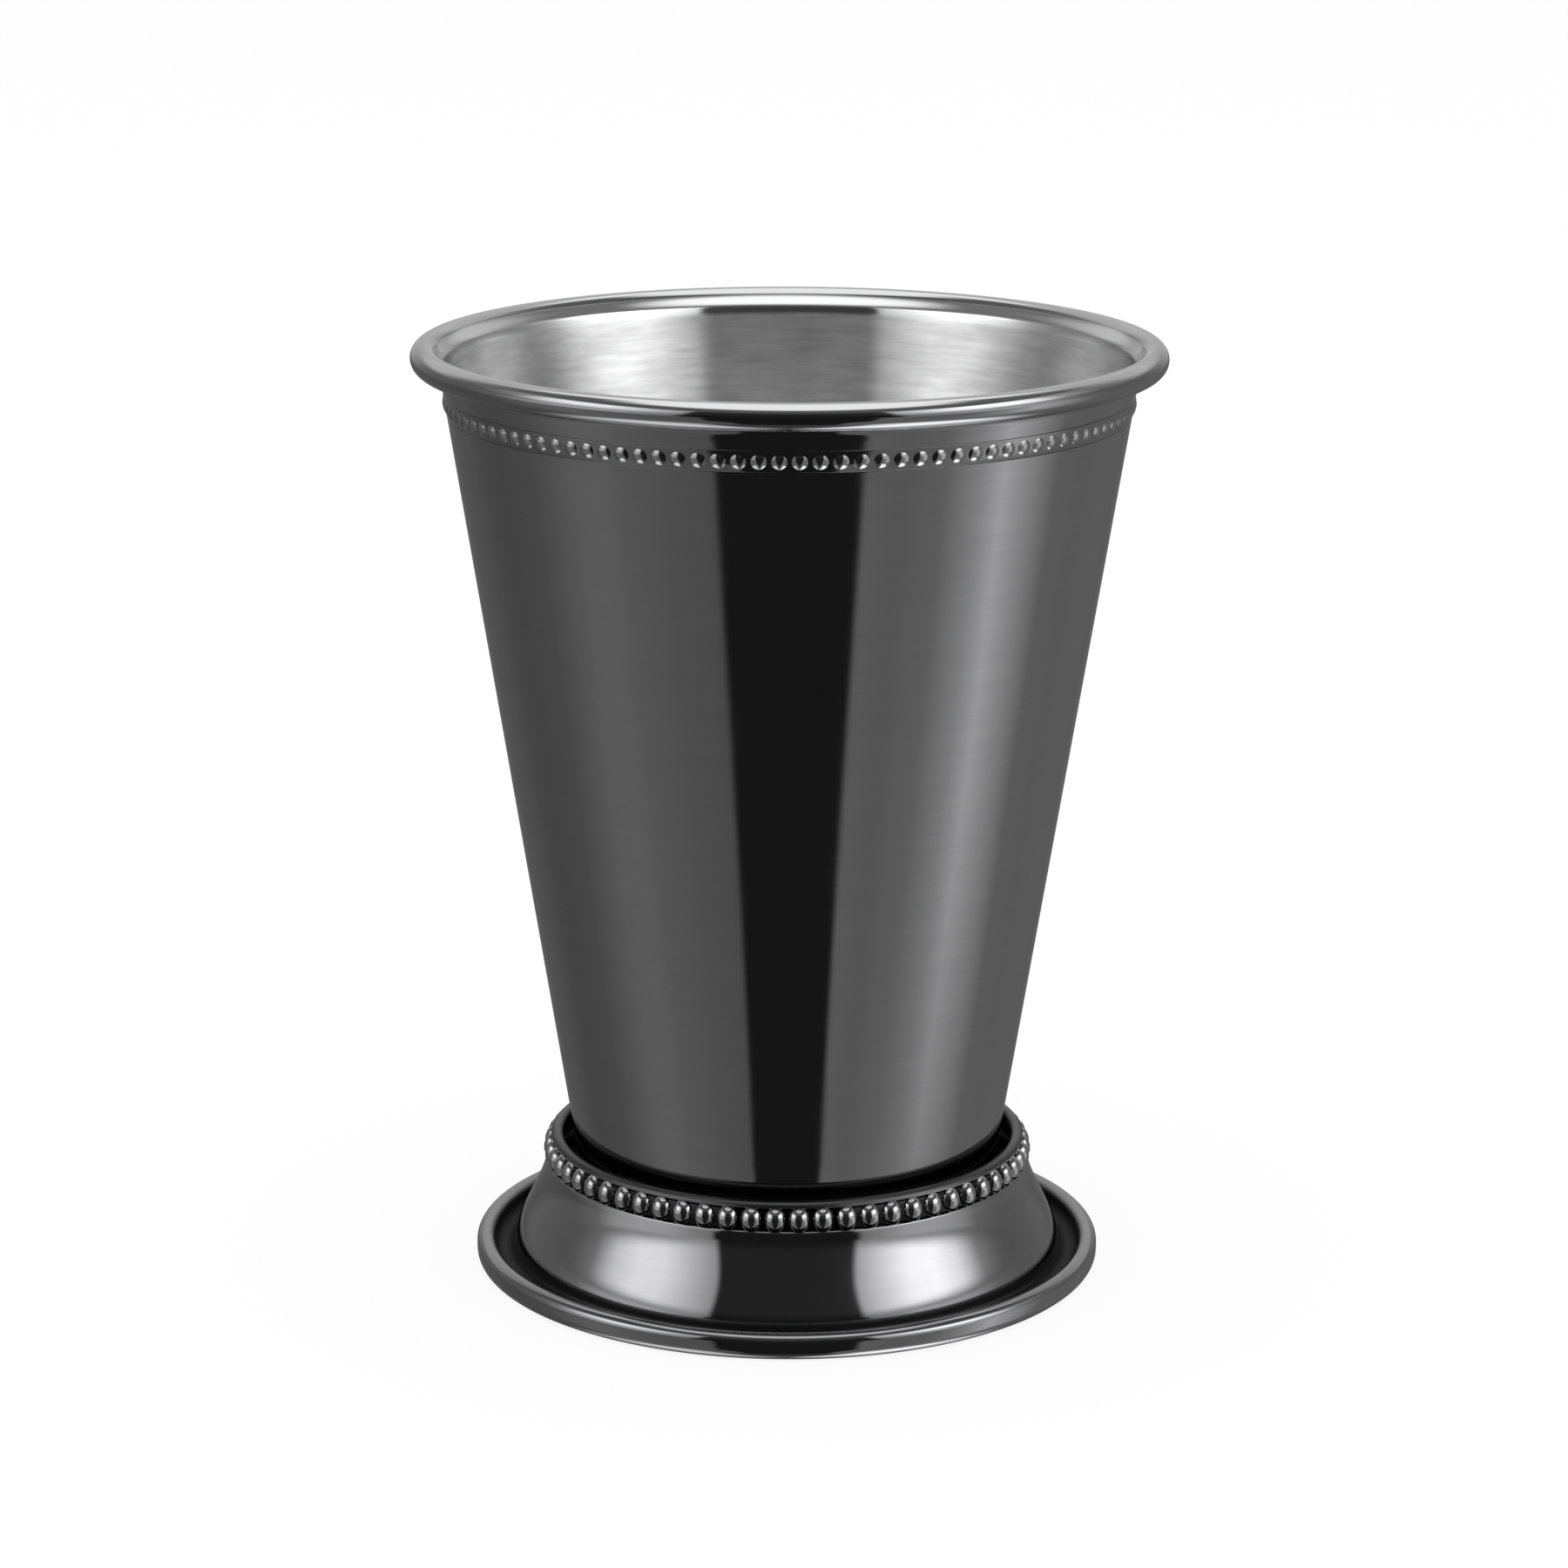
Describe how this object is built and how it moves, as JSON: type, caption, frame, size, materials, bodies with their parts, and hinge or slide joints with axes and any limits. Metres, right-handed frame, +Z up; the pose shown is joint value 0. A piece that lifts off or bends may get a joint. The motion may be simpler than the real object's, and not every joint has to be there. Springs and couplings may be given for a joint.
{
  "type": "julep cup",
  "caption": "Tapered metal drinking cup with a rolled rim, on a flared spun foot with a free-standing collar, with beaded borders under the rim and round the collar.",
  "frame": {"origin": "on the table, under the middle of the foot", "axes": "+Z up along the cup's axis; the cup is round, so X and Y are alike"},
  "size_m": [0.088, 0.088, 0.1117],
  "materials": {
    "cup_metal": "polished black nickel outside, brushed bare steel inside",
    "bead_metal": "polished black nickel",
    "foot_metal": "polished black nickel",
    "plate_metal": "plain pressed steel"
  },
  "bodies": {
    "root": {"cup_shell": "cup_metal", "rim_bead_band": "bead_metal", "foot_shell": "foot_metal", "foot_bead_band": "bead_metal", "seat_plate": "plate_metal"}
  },
  "joints": []
}
